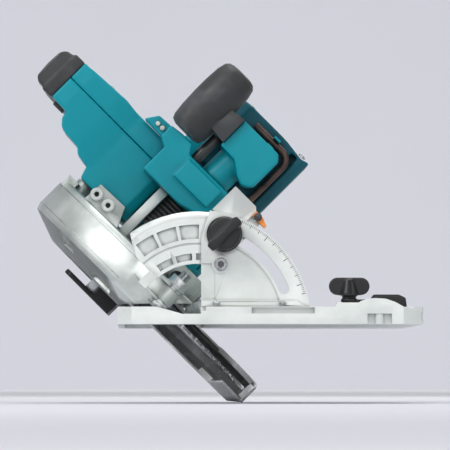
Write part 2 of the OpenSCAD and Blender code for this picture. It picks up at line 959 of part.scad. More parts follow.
module vent_grille() {
    color(black)
        tilted()
            difference() {
                union() {
                    plate_y([-47, -33.2])
                        polygon([
                            [27.6, 74], [27.6, 83.4], [54.7, 83.4], [54.7, 72.6], [54.7, 63],
                            [38, 63], [36, 74]
                        ]);
                }
                for (i = [0 : slot_count])
                    block([30 + i * 3.4, 31.8 + i * 3.4], [-48, -43], [66, 85]);
                bar_x([20, 60], [0, motor_z], motor_r + 0.1);
            }
}

// ---------- front grip ----------

module grip_mount() {
    color(teal)
        tilted() {
            plate_y([-86, end_cover_y[0] - 0.02])
                polygon([
                    [107, 81.3], [106.6, 66.6], [99.2, 56.2], [96.9, 49.6], [99.2, 45.1], [103, 42],
                    [128, 42], [132.4, 46], [132.4, 81.3]
                ]);
            bar_x([85.82, 108], [-64, 66.5], 12.5);
        }
}

module front_grip_core() {
    color(black)
        tilted()
            union() {
                bar_x([barrel_x[0] + 3, barrel_x[1] - 3], [barrel_y, barrel_z], 11);
                plate_y([-90, -68])
                    polygon([[109.5, 81.34], [132.5, 81.34], [130.4, 102], [111.6, 102]]);
                bar_x([85.82, 109.6], [-76, 86.6], 4.5);
            }
}

module front_grip_rubber() {
    r = barrel_d / 2;
    x0 = barrel_x[0];
    x1 = barrel_x[1];
    color(rubber_grey)
        tilted()
            difference() {
                turn_x([barrel_y, barrel_z], 0, 360)
                    polygon([
                        [0, x0], [10, x0], [13.4, x0 + 1.4], [15, x0 + 5], [r - 0.6, x0 + 14],
                        [r, x0 + 28], [r, x1 - 22], [r - 0.7, x1 - 10], [14.4, x1 - 3.6], [12, x1 - 1],
                        [9, x1], [0, x1]
                    ]);
                bar_x([x0 + 2.95, x1 - 2.95], [barrel_y, barrel_z], 11.02);
                plate_y([-90.05, -67.95])
                    polygon([[109.45, 81], [132.55, 81], [130.42, 102.05], [111.58, 102.05]]);
            }
}

// ---------- main handle ----------

// Side outline of the handle and the body under it: (y, z) points
module handle_side() {
    difference() {
        polygon([
            [-34, body_z[0]], [-38, 100], [-38, 139], [-41, 160], [-43, 186], [-41, 207], [-32, 216],
            [-16, 218.4], [2, 215.4], [40, 203], [84, 184], [116, 166], [136, 148], [146, 128], [148, 108],
            [144, 98], [134, body_z[0]]
        ]);
        polygon([
            [16, body_z[1]], [4, 130], [-2, 142], [0, 158], [8, 168], [22, 171], [48, 165], [84, 152],
            [102, 142], [108, 133], [104, 127], [92, body_z[1]]
        ]);
    }
}

// Front outline of the body and the grip: (x, z) points
module handle_front_lower() {
    polygon([
        [body_x[0], body_z[0]], [body_x[0], 139], [25.2, 141.3], [33, 143], [82, 144], [82, body_z[0]]
    ]);
}

module handle_front_upper() {
    polygon([
        [27, 138], [27.4, 145.8], [28.9, 153.2], [32.6, 157], [33.3, 170], [34.8, 176], [40, 180.6],
        [45, 181.3], [46.2, 200], [46.6, 213], [49.5, 216.8], [61.4, 218.4], [74, 217.4], [78.2, 213],
        [80, 196], [81.4, 188.7], [82.1, 177.6], [83.3, 155.4], [82.1, 144.3], [81.8, 138]
    ]);
}

// Solid form of the whole handle
module handle_form() {
    // body over the motor and the packs
    intersection() {
        plate_x([body_x[0], 84])
            handle_side();
        plate_y([-60, 160])
            handle_front_lower();
    }
    // front post with its wide left shoulder
    intersection() {
        plate_x([25, 84])
            difference() {
                handle_side();
                translate([-4, 60])
                    square([200, 160]);
            }
        plate_y([-60, 160])
            handle_front_upper();
    }
    // grip bar and rear post
    intersection() {
        plate_x([45.5, 81])
            handle_side();
        plate_y([-60, 160])
            polygon([
                [45.5, 120], [45.5, 205], [48, 212], [61.4, 216], [74, 213], [79, 206], [81, 196], [81, 120]
            ]);
    }
}

// Upper half of the grip, which is covered with rubber: (y, z) points
module rubber_side() {
    polygon([
        [-60, 197], [-22, 197], [-8, 191], [30, 186], [80, 167], [104, 152], [122, 132], [160, 132],
        [160, 230], [-60, 230]
    ]);
}

// Space inside the shells
module handle_space() {
    block([body_x[0] + 3, body_x[1] - 3], [-34, 140], [body_z[0] + 3, body_z[1] - 3]);
    block([50, 78], [-36, -5], [118, 194]);
    // trigger recess
    block([57, 73], [-6, 50], [160, 184]);
}

module handle_shell() {
    difference() {
        handle_form();
        handle_space();
        plate_x([20, 90])
            rubber_side();
        // lock-off recess
        block([40, 53], [-24, -8], [183.5, 194]);
        // seat of the terminals
        block([30, 140], [52, 120], [body_z[0] - 1, body_z[0] + 3.1]);
        for (place = [[-30, 104], [138, 104], [-30, 170]])
            bar_x([40, 90], place, 1.8);
        // bore of the trigger pin
        bar_x([54, 76], trigger_place, trigger_pin_r + 0.05);
    }
}

module handle_left_shell() {
    color(teal)
        tilted()
            intersection() {
                handle_shell();
                block([0, handle_seam_x - 0.05], [-100, 200], [80, 230]);
            }
}

module handle_right_shell() {
    color(teal)
        tilted() {
            intersection() {
                handle_shell();
                block([handle_seam_x + 0.05, 100], [-100, 200], [80, 230]);
            }
            // pack roof that reaches over the right-hand pack
            difference() {
                plate_x([82, 146])
                    polygon([
                        [34, body_z[0]], [34, 104], [40, 108], [132, 108], [144, 100], [144, body_z[0]]
                    ]);
                block([81, 142], [38, 140], [body_z[0] - 1, 104]);
            }
        }
}

module handle_grip() {
    color(rubber_grey)
        tilted()
            difference() {
                union() {
                    intersection() {
                        handle_form();
                        plate_x([20, 90])
                            rubber_side();
                    }
                    // thicker collar round the nose
                    intersection() {
                        plate_x([44.6, 80.8])
                            handle_side();
                        block([40, 90], [-60, -24], [197.2, 207]);
                    }
                }
                handle_space();
                block([50, 78], [-36, -14], [194, 206]);
                // lock-off recess
                block([40, 53], [-24, -8], [183.5, 194]);
            }
}

module trigger() {
    color(black)
        tilted()
            difference() {
                plate_x([58, 72])
                    polygon([
                        [10, 178], [4, 172.5], [5, 165.8], [16, 163.2], [36, 156], [45, 157.4],
                        [47, 166], [44, 171], [20, 176]
                    ]);
                bar_x([50, 80], trigger_place, trigger_pin_r + 0.1);
            }
}

// Pin on which the trigger turns, held in both shells
module trigger_pin() {
    color(steel)
        tilted()
            bar_x([54.2, 75.8], trigger_place, trigger_pin_r);
}

module lock_off_button() {
    color(black)
        tilted()
            block([42.6, 49.6], [-23.6, -8.4], [184, 193.5]);
}

module switch_module() {
    color("#3c4043")
        tilted()
            block([52, 76], [-34, -7], [140, 178]);
}

module controller_board() {
    color("#1f6b3a")
        tilted()
            block([24, 76], [-26, 48], [98, 106]);
}

module battery_terminals() {
    color("#54585b")
        tilted()
            for (i = [0, 1])
                block(
                    [pack_x[i][0] + 8, pack_x[i][1] - 8], [54, 118],
                    [body_z[0] + 0.05, i == 0 ? body_z[0] + 3 : 103.95]
                );
}

module spindle_lock_button() {
    color(black)
        tilted() {
            bar_y([-38, -21.2], lock_place, 3);
            bar_y([-44, -37.9], lock_place, 5.4);
        }
}

module wrench_clip() {
    color(teal)
        tilted()
            difference() {
                block([132.6, 142], [-60, end_cover_y[0] - 0.02], [51.8, 57.7]);
                bar_z([137.3, -54.4], 50, 60, 2.9);
                block([134.4, 140.2], [-62, -54.4], [50, 60]);
            }
}

module hex_wrench() {
    r = 2.75;
    bend = 9;
    place = [137.3, -54.4, 37.4];
    color("#3b2b28")
        tilted() {
            bar_x([91, place[0] - bend], [place[1], place[2]], r);
            translate([place[0], place[1], place[2] + bend])
                cylinder(h = 74 - place[2] - bend, r = r);
            translate([place[0] - bend, place[1], place[2] + bend])
                rotate([90, 0, 0])
                    rotate([0, 0, -90])
                        rotate_extrude(angle = 90)
                            translate([bend, 0])
                                circle(r = r, $fn = 24);
        }
}

module depth_lever() {
    y = depth_y + guide_r;
    color(black)
        tilted()
            union() {
                bar_x([case_inner_x[1] + 0.6, lever_x[0] + 1], [y, depth_z], 2.9);
                bar_x(lever_x, [y, depth_z], 8);
                plate_x([lever_x[0], lever_x[1]])
                    polygon([
                        [y - 3, depth_z + 6], [y + 5, depth_z + 5], [y + 26, depth_z + 34],
                        [y + 25, depth_z + 40], [y + 19, depth_z + 41]
                    ]);
            }
}

// ---------- lower guard ----------

module lower_guard() {
    outer_x = -22.3;
    inner_x = 2.5;
    color(casting)
        tilted()
            difference() {
                union() {
                    // rim and outer wall
                    turn_x([0, arbor_z], -100, 170)
                        polygon([
                            [70, outer_x], [guard_r - 9, outer_x], [guard_r, outer_x + 7.5], [guard_r, 0],
                            [guard_r - 2, inner_x], [60, inner_x], [60, inner_x - 1.5],
                            [guard_r - 3, inner_x - 1.5], [guard_r - 1.8, -0.4],
                            [guard_r - 1.8, outer_x + 8.3], [guard_r - 9.8, outer_x + 1.6],
                            [70, outer_x + 1.6]
                        ]);
                    // walls that reach forward past the open mouth
                    turn_x([0, arbor_z], -128, 36)
                        polygon([
                            [76, outer_x + 0.1], [guard_r - 9.2, outer_x + 0.1], [guard_r - 2, outer_x + 6.1],
                            [guard_r - 2, outer_x + 7.9], [guard_r - 9.7, outer_x + 1.5],
                            [76, outer_x + 1.5]
                        ]);
                    turn_x([0, arbor_z], -128, 36)
                        translate([76, inner_x - 1.4])
                            square([guard_r - 3.6 - 76, 1.3]);
                    // rolled lips of the mouth
                    turn_x([0, arbor_z], -128, 30)
                        translate([guard_r - 6.4, inner_x - 4])
                            square([2.6, 3.8]);
                    turn_x([0, arbor_z], -128, 2)
                        translate([76.3, inner_x - 3.7])
                            square([guard_r - 81, 3.4]);
                    turn_x([0, arbor_z], -128, 2)
                        translate([76.3, outer_x + 0.3])
                            square([guard_r - 87, 3.6]);
                    turn_x([0, arbor_z], -101.5, 3)
                        translate([guard_r - 4.4, outer_x + 9])
                            square([4.2, -0.8 - outer_x - 9]);
                    // inner web and hub
                    plate_x([inner_x - 1.5, inner_x])
                        translate([0, arbor_z])
                            intersection() {
                                circle(r = 66);
                                rotate([0, 0, -98])
                                    polygon(concat([[0, 0]], [for (i = [0 : 8]) 80 * [cos(i * 20.5), sin(i * 20.5)]]));
                            }
                    bar_x([0.8, 3.4], [0, arbor_z], 23);
                }
                bar_x([-3, 8], [0, arbor_z], boss_r + fit);
            }
}

module guard_lever() {
    color(bright)
        tilted()
            block([-36, -22.32], [50, 60], [73, 81]);
}

module guard_lever_arm() {
    color(black)
        tilted() {
            plate_x([-40, -25])
                polygon([[46, 54], [46, 72.9], [64, 72.9], [64, 58], [58, 52]]);
            plate_x([-40, -36.05])
                polygon([[46, 72.8], [64, 72.8], [64, 96], [60, 100], [50, 100], [46, 96]]);
        }
}

// ---------- battery packs ----------

module battery_pack(x) {
    difference() {
        union() {
            plate_x(x)
                polygon([
                    [pack_y[0] + 3, pack_z[0]], [pack_y[0], pack_z[0] + 4], [pack_y[0], pack_z[1]],
                    [pack_y[1] - 8, pack_z[1]], [pack_y[1], pack_z[1] - 8], [pack_y[1], pack_z[0] + 6],
                    [pack_y[1] - 6, pack_z[0]]
                ]);
            // sliding rails
            block([x[0] + 6, x[0] + 10], [42, 128], [pack_z[1] - 0.1, pack_z[1] + 3]);
            block([x[1] - 10, x[1] - 6], [42, 128], [pack_z[1] - 0.1, pack_z[1] + 3]);
        }
        // groove between case and lid, and the latch pocket
        block([x[0] - 1, x[0] + 1], [pack_y[0] - 1, pack_y[1] + 1], [70, 71.6]);
        block([x[1] - 1, x[1] + 1], [pack_y[0] - 1, pack_y[1] + 1], [70, 71.6]);
        block([x[0] + 16, x[1] - 16], [134, 150], [62, 80]);
    }
}

module battery_latch(x) {
    block([x[0] + 16.4, x[1] - 16.4], [140, 147], [66, 79]);
}

module battery_left() {
    color(black)
        tilted()
            battery_pack(pack_x[0]);
}

module battery_right() {
    color(black)
        tilted()
            battery_pack(pack_x[1]);
}

module battery_left_latch() {
    color("#8b1f1f")
        tilted()
            battery_latch(pack_x[0]);
}

module battery_right_latch() {
    color("#8b1f1f")
        tilted()
            battery_latch(pack_x[1]);
}

base_plate();
front_bevel_bracket();
bracket_screws();
bevel_stop_screw();
rear_bevel_bracket();
fence_clamp_pad();
fence_wing_bolt();
bevel_quadrant();
depth_pivot_bolt();
depth_pivot_nut();
bevel_pointer();
pointer_screw();
bevel_clamp_bolt();
rear_tilt_plate();
rear_clamp_bolt();
depth_guide();
bevel_knob();
blade_case();
gear_housing();
motor_housing();
motor_end_cover();
front_cover();
grip_mount();
handle_left_shell();
handle_right_shell();
handle_grip();
front_grip_core();
front_grip_rubber();
brace_bar();
vent_grille();
case_screws();
wrench_clip();
stator();
rotor_bearings();
spindle_bearings();
switch_module();
controller_board();
work_lights();
battery_terminals();
depth_lever();
trigger();
trigger_pin();
lock_off_button();
spindle_lock_button();
hex_wrench();
lower_guard();
guard_lever();
guard_lever_arm();
blade();
inner_flange();
outer_flange();
blade_bolt();
spindle();
spindle_gear();
rotor();
cooling_fan();
battery_left();
battery_right();
battery_left_latch();
battery_right_latch();
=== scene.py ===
import json
import math

import bmesh
import bpy
from mathutils import Matrix, Vector


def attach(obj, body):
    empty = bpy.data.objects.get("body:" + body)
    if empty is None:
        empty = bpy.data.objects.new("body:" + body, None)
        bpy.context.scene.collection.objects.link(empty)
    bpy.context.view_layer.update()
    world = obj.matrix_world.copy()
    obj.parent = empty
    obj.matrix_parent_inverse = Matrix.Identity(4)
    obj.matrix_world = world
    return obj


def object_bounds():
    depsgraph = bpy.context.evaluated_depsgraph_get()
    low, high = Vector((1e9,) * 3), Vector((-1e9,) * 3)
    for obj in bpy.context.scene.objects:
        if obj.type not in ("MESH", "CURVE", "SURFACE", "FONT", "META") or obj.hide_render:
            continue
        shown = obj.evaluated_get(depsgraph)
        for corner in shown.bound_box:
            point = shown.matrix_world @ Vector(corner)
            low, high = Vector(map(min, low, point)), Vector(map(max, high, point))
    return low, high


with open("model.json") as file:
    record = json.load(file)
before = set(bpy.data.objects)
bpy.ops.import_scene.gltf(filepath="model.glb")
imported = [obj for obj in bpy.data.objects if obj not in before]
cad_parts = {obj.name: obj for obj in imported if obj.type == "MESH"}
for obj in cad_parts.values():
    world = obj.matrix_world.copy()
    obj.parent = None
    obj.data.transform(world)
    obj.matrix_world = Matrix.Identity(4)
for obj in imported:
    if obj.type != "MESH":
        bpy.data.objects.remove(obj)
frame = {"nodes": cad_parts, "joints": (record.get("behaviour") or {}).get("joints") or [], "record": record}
cad_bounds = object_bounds()
nodes = frame["nodes"]
joints = {j["name"]: j for j in frame["joints"]}

MM = 0.001
PIVOT = Vector(joints["bevel_tilt"]["pos_m"])
HEAD_X = Vector(joints["blade_spin"]["axis"]).normalized()
HEAD_Y = Vector((0, 1, 0))
HEAD_Z = HEAD_X.cross(HEAD_Y)
ARBOR = Vector(joints["blade_spin"]["pos_m"])

# Carries upright head coordinates, in metres, to the row frame
HEAD = Matrix((
    (HEAD_X.x, HEAD_Y.x, HEAD_Z.x, PIVOT.x),
    (HEAD_X.y, HEAD_Y.y, HEAD_Z.y, PIVOT.y),
    (HEAD_X.z, HEAD_Y.z, HEAD_Z.z, PIVOT.z),
    (0, 0, 0, 1),
))
HEAD_INVERSE = HEAD.inverted()
AT_PIVOT = Matrix.Translation(PIVOT)


def corners(node, space):
    """Lowest and highest corner of a CAD node along the axes of a space, in millimetres."""
    inverse = space.inverted()
    places = [inverse @ v.co for v in nodes[node].data.vertices]
    low = Vector([round(min(p[i] for p in places) / MM, 3) for i in range(3)])
    high = Vector([round(max(p[i] for p in places) / MM, 3) for i in range(3)])
    return low, high


# ---------------------------------------------------------------- materials

def srgb(r, g, b):
    """Linear colour with alpha from 0 to 255 display values."""
    def linear(c):
        c /= 255
        return c / 12.92 if c <= 0.04045 else ((c + 0.055) / 1.055) ** 2.4
    return (linear(r), linear(g), linear(b), 1)


BLACK = (0, 0, 0, 1)


def darkened(colour, share):
    """A colour brought down to a share of its brightness."""
    return (*(channel * share for channel in colour[:3]), 1)


class Shader:
    """A material with its node tree and the few nodes that every finish here needs."""

    def __init__(self, name, roughness=0.5, metallic=0.0):
        self.material = bpy.data.materials.new(name)
        self.material.use_nodes = True
        self.tree = self.material.node_tree
        self.bsdf = self.tree.nodes["Principled BSDF"]
        self.bsdf.inputs["Roughness"].default_value = roughness
        self.bsdf.inputs["Metallic"].default_value = metallic
        self.coordinates = self.add("ShaderNodeTexCoord")
        self.place = self.coordinates.outputs["Object"]

    def add(self, kind, **values):
        node = self.tree.nodes.new(kind)
        for key, value in values.items():
            setattr(node, key, value)
        return node

    def link(self, a, b):
        self.tree.links.new(a, b)

    def stretched(self, scale):
        """Object coordinates scaled by three numbers, for brushed or layered looks."""
        mapping = self.add("ShaderNodeMapping")
        self.link(self.place, mapping.inputs["Vector"])
        mapping.inputs["Scale"].default_value = scale
        return mapping.outputs["Vector"]

    def head_place(self):
        """Object coordinates turned into the upright head, measured from the arbor."""
        moved = self.add("ShaderNodeVectorMath", operation="SUBTRACT")
        self.link(self.place, moved.inputs[0])
        moved.inputs[1].default_value = ARBOR
        parts = []
        for axis in (HEAD_X, HEAD_Y, HEAD_Z):
            dot = self.add("ShaderNodeVectorMath", operation="DOT_PRODUCT")
            self.link(moved.outputs[0], dot.inputs[0])
            dot.inputs[1].default_value = axis
            parts.append(dot.outputs["Value"])
        return parts

    def noise(self, scale, detail=3, roughness=0.55, vector=None, distortion=0.0):
        texture = self.add("ShaderNodeTexNoise")
        self.link(vector or self.place, texture.inputs["Vector"])
        texture.inputs["Scale"].default_value = scale
        texture.inputs["Detail"].default_value = detail
        texture.inputs["Roughness"].default_value = roughness
        texture.inputs["Distortion"].default_value = distortion
        return texture.outputs["Fac"]

    def cells(self, scale):
        texture = self.add("ShaderNodeTexVoronoi")
        self.link(self.place, texture.inputs["Vector"])
        texture.inputs["Scale"].default_value = scale
        return texture.outputs["Distance"]

    def ramp(self, factor, stops):
        """Colour ramp: stops are (place, colour or grey)."""
        node = self.add("ShaderNodeValToRGB")
        self.link(factor, node.inputs["Fac"])
        elements = node.color_ramp.elements
        while len(elements) < len(stops):
            elements.new(0.5)
        for element, (place, colour) in zip(elements, stops):
            element.position = place
            element.color = colour if isinstance(colour, tuple) else (colour, colour, colour, 1)
        return node.outputs["Color"]

    def mix(self, factor, a, b):
        """Mixes two colours, each a socket or a fixed colour, by a factor socket or number."""
        node = self.add("ShaderNodeMix", data_type="RGBA")
        for value, socket in ((factor, node.inputs[0]), (a, node.inputs[6]), (b, node.inputs[7])):
            if isinstance(value, (float, int, tuple)):
                socket.default_value = value
            else:
                self.link(value, socket)
        return node.outputs[2]

    def weaker(self, amount, mask):
        """A mask brought down to a share of its strength."""
        return self.mix(amount, BLACK, mask)

    def colour(self, value):
        self.link(value, self.bsdf.inputs["Base Color"])

    def roughness(self, factor, low, high):
        """Roughness that wanders between two values."""
        node = self.add("ShaderNodeMapRange")
        self.link(factor, node.inputs["Value"])
        node.inputs["From Min"].default_value = 0.3
        node.inputs["From Max"].default_value = 0.7
        node.inputs["To Min"].default_value = low
        node.inputs["To Max"].default_value = high
        self.link(node.outputs["Result"], self.bsdf.inputs["Roughness"])

    def bump(self, height, distance, strength=1.0):
        """Adds a bump under any bump already there."""
        node = self.add("ShaderNodeBump")
        node.inputs["Strength"].default_value = strength
        node.inputs["Distance"].default_value = distance
        self.link(height, node.inputs["Height"])
        old = self.bsdf.inputs["Normal"].links
        if old:
            self.link(old[0].from_socket, node.inputs["Normal"])
        self.link(node.outputs["Normal"], self.bsdf.inputs["Normal"])

    def crevice_shade_mask(self, distance, low=0.35, high=0.85):
        """Mask for painted shade, from ambient occlusion: 1 in narrow gaps and inside corners, 0 on open
        faces.
        """
        shade = self.add("ShaderNodeAmbientOcclusion", samples=8)
        shade.inputs["Distance"].default_value = distance
        return self.ramp(shade.outputs["AO"], [(low, 1.0), (high, 0.0)])

    def pointiness(self, stops):
        """Mask from how far the surface bulges: 0.5 is flat, more is an outer edge, less a hollow."""
        geometry = self.add("ShaderNodeNewGeometry")
        return self.ramp(geometry.outputs["Pointiness"], stops)

    def edges(self, low=0.52, high=0.62):
        """0 on flats and hollows, 1 on outer edges."""
        return self.pointiness([(low, 0.0), (high, 1.0)])


def moulded(name, base, dark, light, roughness=(0.34, 0.5), grain=1500, depth=0.00006, coat=0.0):
    """Moulded plastic: slow shade drift, fine spark-eroded grain, paler rubbed edges, and painted shade in
    gaps and inside corners.
    """
    s = Shader(name)
    body = s.ramp(s.noise(14, 2), [(0.3, dark), (0.5, base), (0.72, base)])
    scuffs = s.noise(160, 6, 0.7, distortion=0.6)
    rubbed = s.ramp(scuffs, [(0.58, 0.0), (0.78, 1.0)])
    shade = s.mix(0.10, body, s.mix(rubbed, base, light))
    shade = s.mix(s.weaker(0.75, s.edges()), shade, light)
    # Painted shade: the colour is darkened in narrow gaps and inside corners.
    s.colour(s.mix(s.weaker(0.6, s.crevice_shade_mask(0.007)), shade, darkened(dark, 0.3)))
    s.roughness(s.noise(90, 4), *roughness)
    s.bump(s.noise(grain, 3), depth, 0.5)
    s.bump(s.noise(60, 2), 0.00012, 0.25)
    s.bsdf.inputs["Specular IOR Level"].default_value = 0.22
    s.bsdf.inputs["Coat Weight"].default_value = coat
    s.bsdf.inputs["Coat Roughness"].default_value = 0.25
    return s.material


def soft_rubber(name, base, dark, light):
    """Overmoulded rubber: matt, pebbled, with lighter worn high spots."""
    s = Shader(name)
    body = s.ramp(s.noise(22, 3), [(0.3, dark), (0.55, base), (0.75, light)])
    s.colour(s.mix(s.edges(0.53, 0.66), body, light))
    s.roughness(s.noise(120, 4), 0.42, 0.62)
    s.bump(s.cells(900), 0.0001, 0.55)
    s.bump(s.noise(2600, 2), 0.00004, 0.5)
    s.bsdf.inputs["Sheen Weight"].default_value = 0.08
    return s.material


def cast_metal(name, base, dark, light, metallic, roughness, grain=1400, depth=0.00009, outer=0.0):
    """Die-cast metal with a satin coat: fine orange peel, mottled gloss, brighter edges, painted shade in
    hollows and narrow gaps.
    outer darkens the faces turned to the blade side of the head, as painted shade on that side."""
    s = Shader(name, metallic=metallic)
    body = s.ramp(s.noise(26, 4), [(0.28, dark), (0.5, base), (0.74, light)])
    # Painted shade: faces turned towards the blade side of the head are darkened.
    if outer:
        facing = s.add("ShaderNodeVectorMath", operation="DOT_PRODUCT")
        s.link(s.coordinates.outputs["Normal"], facing.inputs[0])
        facing.inputs[1].default_value = -HEAD_X
        mask = s.ramp(facing.outputs["Value"], [(0.45, 0.0), (0.85, outer)])
        body = s.mix(mask, body, darkened(dark, 0.3))
    # Painted shade: hollows in the surface are mixed towards the dark shade.
    body = s.mix(s.weaker(0.6, s.pointiness([(0.4, 1.0), (0.49, 0.0)])), body, dark)
    body = s.mix(s.weaker(0.8, s.edges()), body, light)
    # Painted shade: narrow gaps and inside corners are darkened.
    s.colour(s.mix(s.weaker(0.6, s.crevice_shade_mask(0.004)), body, darkened(dark, 0.22)))
    s.roughness(s.noise(70, 5, 0.65), *roughness)
    s.bump(s.noise(grain, 4, 0.6), depth, 0.55)
    s.bump(s.noise(180, 3), 0.00012, 0.2)
    return s.material


def machined(name, base, light):
    """Turned, ground or plated steel with fine lines along one direction."""
    s = Shader(name, metallic=1.0)
    lines = s.noise(6, 4, 0.7, s.stretched((40, 900, 40)))
    stain = s.noise(45, 4)
    body = s.ramp(lines, [(0.3, base), (0.7, light)])
    s.colour(s.mix(s.ramp(stain, [(0.55, 0.0), (0.8, 0.5)]), body, base))
    s.roughness(s.noise(60, 2), 0.22, 0.38)
    s.bump(lines, 0.00001, 0.4)
    return s.material


def ground_disc(name):
    """Blade steel: ring-shaped grinding marks about the arbor, heat tint near the teeth."""
    s = Shader(name, metallic=1.0)
    _, y, z = s.head_place()
    flat = s.add("ShaderNodeCombineXYZ")
    s.link(y, flat.inputs[0])
    s.link(z, flat.inputs[1])
    length = s.add("ShaderNodeVectorMath", operation="LENGTH")
    s.link(flat.outputs[0], length.inputs[0])
    ring = s.add("ShaderNodeCombineXYZ")
    s.link(length.outputs["Value"], ring.inputs[0])
    rings = s.noise(700, 2, 0.5, ring.outputs[0])
    body = s.ramp(rings, [(0.3, srgb(176, 179, 181)), (0.7, srgb(206, 209, 211))])
    rim = s.add("ShaderNodeMapRange")
    s.link(length.outputs["Value"], rim.inputs["Value"])
    rim.inputs["From Min"].default_value = 0.080
    rim.inputs["From Max"].default_value = 0.096
    heat = s.mix(rim.outputs["Result"], BLACK, (0.35, 0.35, 0.35, 1))
    s.colour(s.mix(heat, body, srgb(150, 128, 96)))
    s.roughness(s.noise(40, 2), 0.24, 0.32)
    s.bump(rings, 0.00001, 0.3)
    return s.material


def plain(name, base, light, roughness=(0.3, 0.5), metallic=0.0):
    """Small parts: two close shades, a wandering gloss and a fine grain."""
    s = Shader(name, metallic=metallic)
    s.colour(s.mix(s.edges(), s.ramp(s.noise(70, 4), [(0.3, base), (0.75, light)]), light))
    s.roughness(s.noise(150, 3), *roughness)
    s.bump(s.noise(1200, 3), 0.00005, 0.5)
    return s.material


def winding(name):
    """Lacquered copper wire, laid in close turns."""
    s = Shader(name, metallic=0.7)
    wave = s.add("ShaderNodeTexWave", wave_type="BANDS", bands_direction="DIAGONAL")
    s.link(s.place, wave.inputs["Vector"])
    wave.inputs["Scale"].default_value = 600
    wave.inputs["Distortion"].default_value = 1.5
    s.colour(s.ramp(wave.outputs["Fac"], [(0.1, srgb(88, 36, 14)), (0.8, srgb(196, 104, 52))]))
    s.roughness(s.noise(90, 3), 0.25, 0.4)
    s.bump(wave.outputs["Fac"], 0.0003, 0.8)
    return s.material


def lens(name):
    """Clear lens of a work light, with a prism pattern behind it."""
    s = Shader(name, roughness=0.12)
    s.colour(s.ramp(s.noise(600, 2), [(0.3, srgb(226, 228, 214)), (0.7, srgb(250, 250, 240))]))
    s.bump(s.cells(1200), 0.0001, 0.5)
    s.bsdf.inputs["Transmission Weight"].default_value = 0.35
    s.bsdf.inputs["Coat Weight"].default_value = 0.8
    return s.material


MATERIALS = {
    "cast_white": cast_metal(
        "cast_white", srgb(226, 231, 226), srgb(208, 214, 209), srgb(242, 245, 242),
        metallic=0.15, roughness=(0.34, 0.46)),
    "cast_aluminium": cast_metal(
        "cast_aluminium", srgb(196, 202, 198), srgb(168, 175, 170), srgb(232, 236, 233),
        metallic=0.75, roughness=(0.38, 0.48), outer=0.85),
    "polished_aluminium": cast_metal(
        "polished_aluminium", srgb(232, 235, 233), srgb(212, 216, 213), srgb(248, 249, 248),
        metallic=0.25, roughness=(0.22, 0.3), grain=300, depth=0.00001),
    "plated_steel": machined("plated_steel", srgb(176, 181, 182), srgb(222, 226, 226)),
    "steel": machined("steel", srgb(128, 132, 134), srgb(190, 194, 196)),
    "blade_steel": ground_disc("blade_steel"),
    "black_steel": plain("black_steel", srgb(38, 38, 40), srgb(86, 86, 88), metallic=0.6),
    "oiled_steel": plain(
        "oiled_steel", srgb(58, 44, 42), srgb(120, 98, 90), roughness=(0.25, 0.4), metallic=0.7),
    "teal_plastic": moulded(
        "teal_plastic", srgb(0, 148, 162), srgb(0, 134, 149), srgb(16, 170, 184), coat=0.05),
    # deep_teal_plastic is the teal made darker: a shaded copy, painted shade for teal parts set back in
    # shadow.
    "deep_teal_plastic": moulded(
        "deep_teal_plastic", srgb(6, 88, 102), srgb(4, 70, 84), srgb(30, 120, 134)),
    "black_plastic": moulded(
        "black_plastic", srgb(30, 30, 32), srgb(20, 20, 22), srgb(92, 94, 96),
        roughness=(0.3, 0.44), coat=0.35),
    "battery_black": moulded(
        "battery_black", srgb(44, 45, 47), srgb(32, 33, 35), srgb(90, 92, 94),
        roughness=(0.45, 0.6), grain=1000, depth=0.0001),
    "red_plastic": moulded("red_plastic", srgb(150, 30, 30), srgb(110, 20, 22), srgb(200, 70, 64)),
    "grey_rubber": soft_rubber("grey_rubber", srgb(44, 47, 48), srgb(35, 37, 38), srgb(78, 83, 86)),
    "orange_plastic": moulded(
        "orange_plastic", srgb(255, 150, 60), srgb(236, 124, 40), srgb(255, 190, 120)),
    "copper_winding": winding("copper_winding"),
    "circuit_board": plain("circuit_board", srgb(20, 84, 48), srgb(40, 120, 74)),
    "clear_lens": lens("clear_lens"),
}

for part in frame["record"]["subparts"]:
    thing = nodes[part["node"]]
    thing.data.materials.clear()
    thing.data.materials.append(MATERIALS[part["material_slot"]])


# ---------------------------------------------------------------- finishing the CAD nodes

def weld(thing):
    """Joins the points that the faces of a CAD part share."""
    modifier = thing.modifiers.new("weld", "WELD")
    modifier.merge_threshold = 0.00001


CREASE_ANGLE = math.radians(35)


def shade_smooth(thing):
    """Smooth shading, with creases where faces meet at more than the crease angle."""
    modifier = thing.modifiers.new("shading", "NODES")
    modifier.node_group = bpy.data.node_groups.get("smooth_by_angle") or smooth_group()


def smooth_group():
    """Geometry nodes that shade all faces smooth and leave edges over the crease angle sharp."""
    tree = bpy.data.node_groups.new("smooth_by_angle", "GeometryNodeTree")
    tree.interface.new_socket("Geometry", in_out="INPUT", socket_type="NodeSocketGeometry")
    tree.interface.new_socket("Geometry", in_out="OUTPUT", socket_type="NodeSocketGeometry")
    entry = tree.nodes.new("NodeGroupInput")
    leave = tree.nodes.new("NodeGroupOutput")
    edge_angle = tree.nodes.new("GeometryNodeInputMeshEdgeAngle")
    compare = tree.nodes.new("FunctionNodeCompare")
    compare.operation = "LESS_THAN"
    compare.inputs["B"].default_value = CREASE_ANGLE
    faces = tree.nodes.new("GeometryNodeSetShadeSmooth")
    faces.domain = "FACE"
    edges = tree.nodes.new("GeometryNodeSetShadeSmooth")
    edges.domain = "EDGE"
    tree.links.new(entry.outputs[0], faces.inputs["Geometry"])
    tree.links.new(faces.outputs[0], edges.inputs["Geometry"])
    tree.links.new(edge_angle.outputs["Unsigned Angle"], compare.inputs["A"])
    tree.links.new(compare.outputs["Result"], edges.inputs["Shade Smooth"])
    tree.links.new(edges.outputs[0], leave.inputs[0])
    return tree


